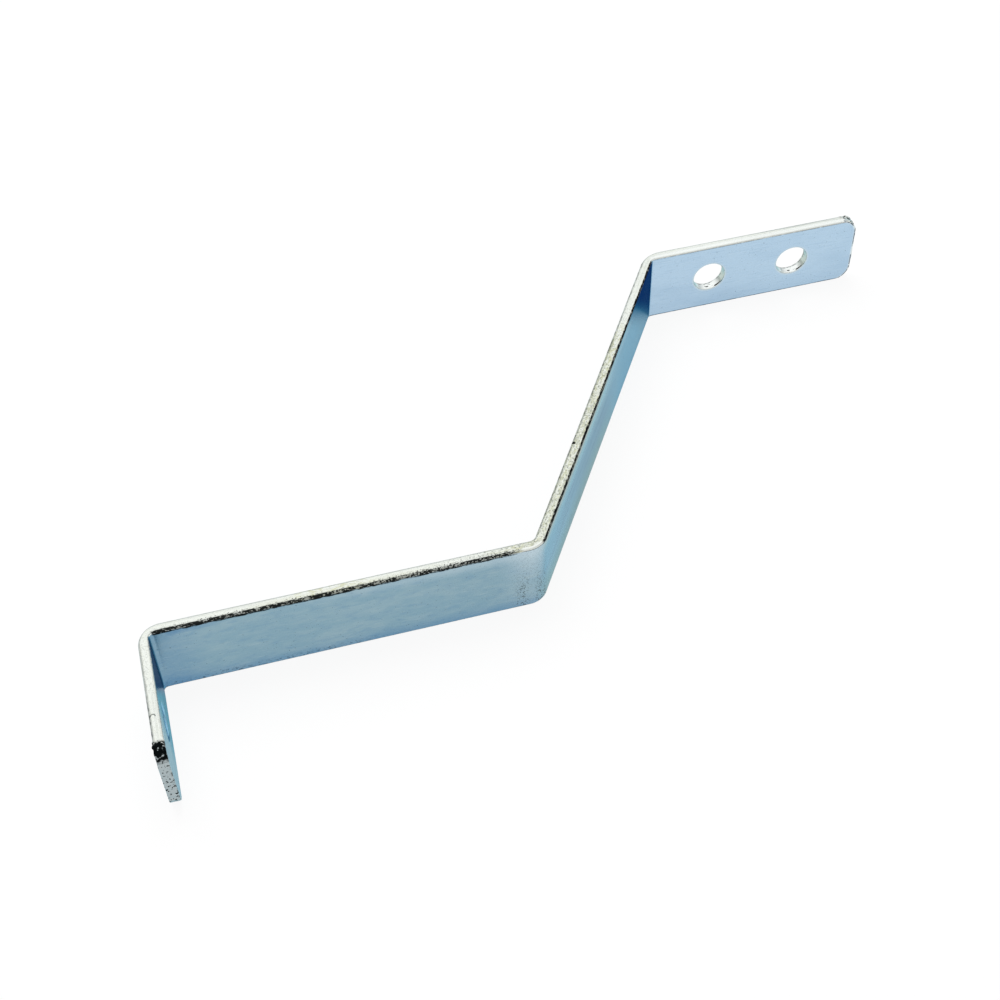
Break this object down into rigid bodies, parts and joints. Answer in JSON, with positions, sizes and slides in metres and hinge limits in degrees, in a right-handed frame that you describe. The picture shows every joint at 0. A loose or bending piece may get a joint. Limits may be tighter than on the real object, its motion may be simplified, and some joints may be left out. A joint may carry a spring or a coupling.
{
  "type": "cranked flat-bar mounting bracket",
  "caption": "Zinc-plated steel mounting bracket folded from flat bar: a right-angled tab, a long leg, a sloping riser and an offset end plate, with bolt holes.",
  "frame": {"origin": "middle of the end plate's bolt holes, on the plate's back face and half way across the bar", "axes": "+X along the plate towards its free end, +Y out of the plate's back face, +Z across the width of the bar; the bracket stands on its narrow edge"},
  "size_m": [0.2461, 0.1452, 0.025],
  "materials": {
    "zinc_plated_steel": "bright blue-passivated zinc plating, satin, with fine scratches and dark specks"
  },
  "bodies": {
    "root": {"bracket": "zinc_plated_steel"}
  },
  "joints": []
}
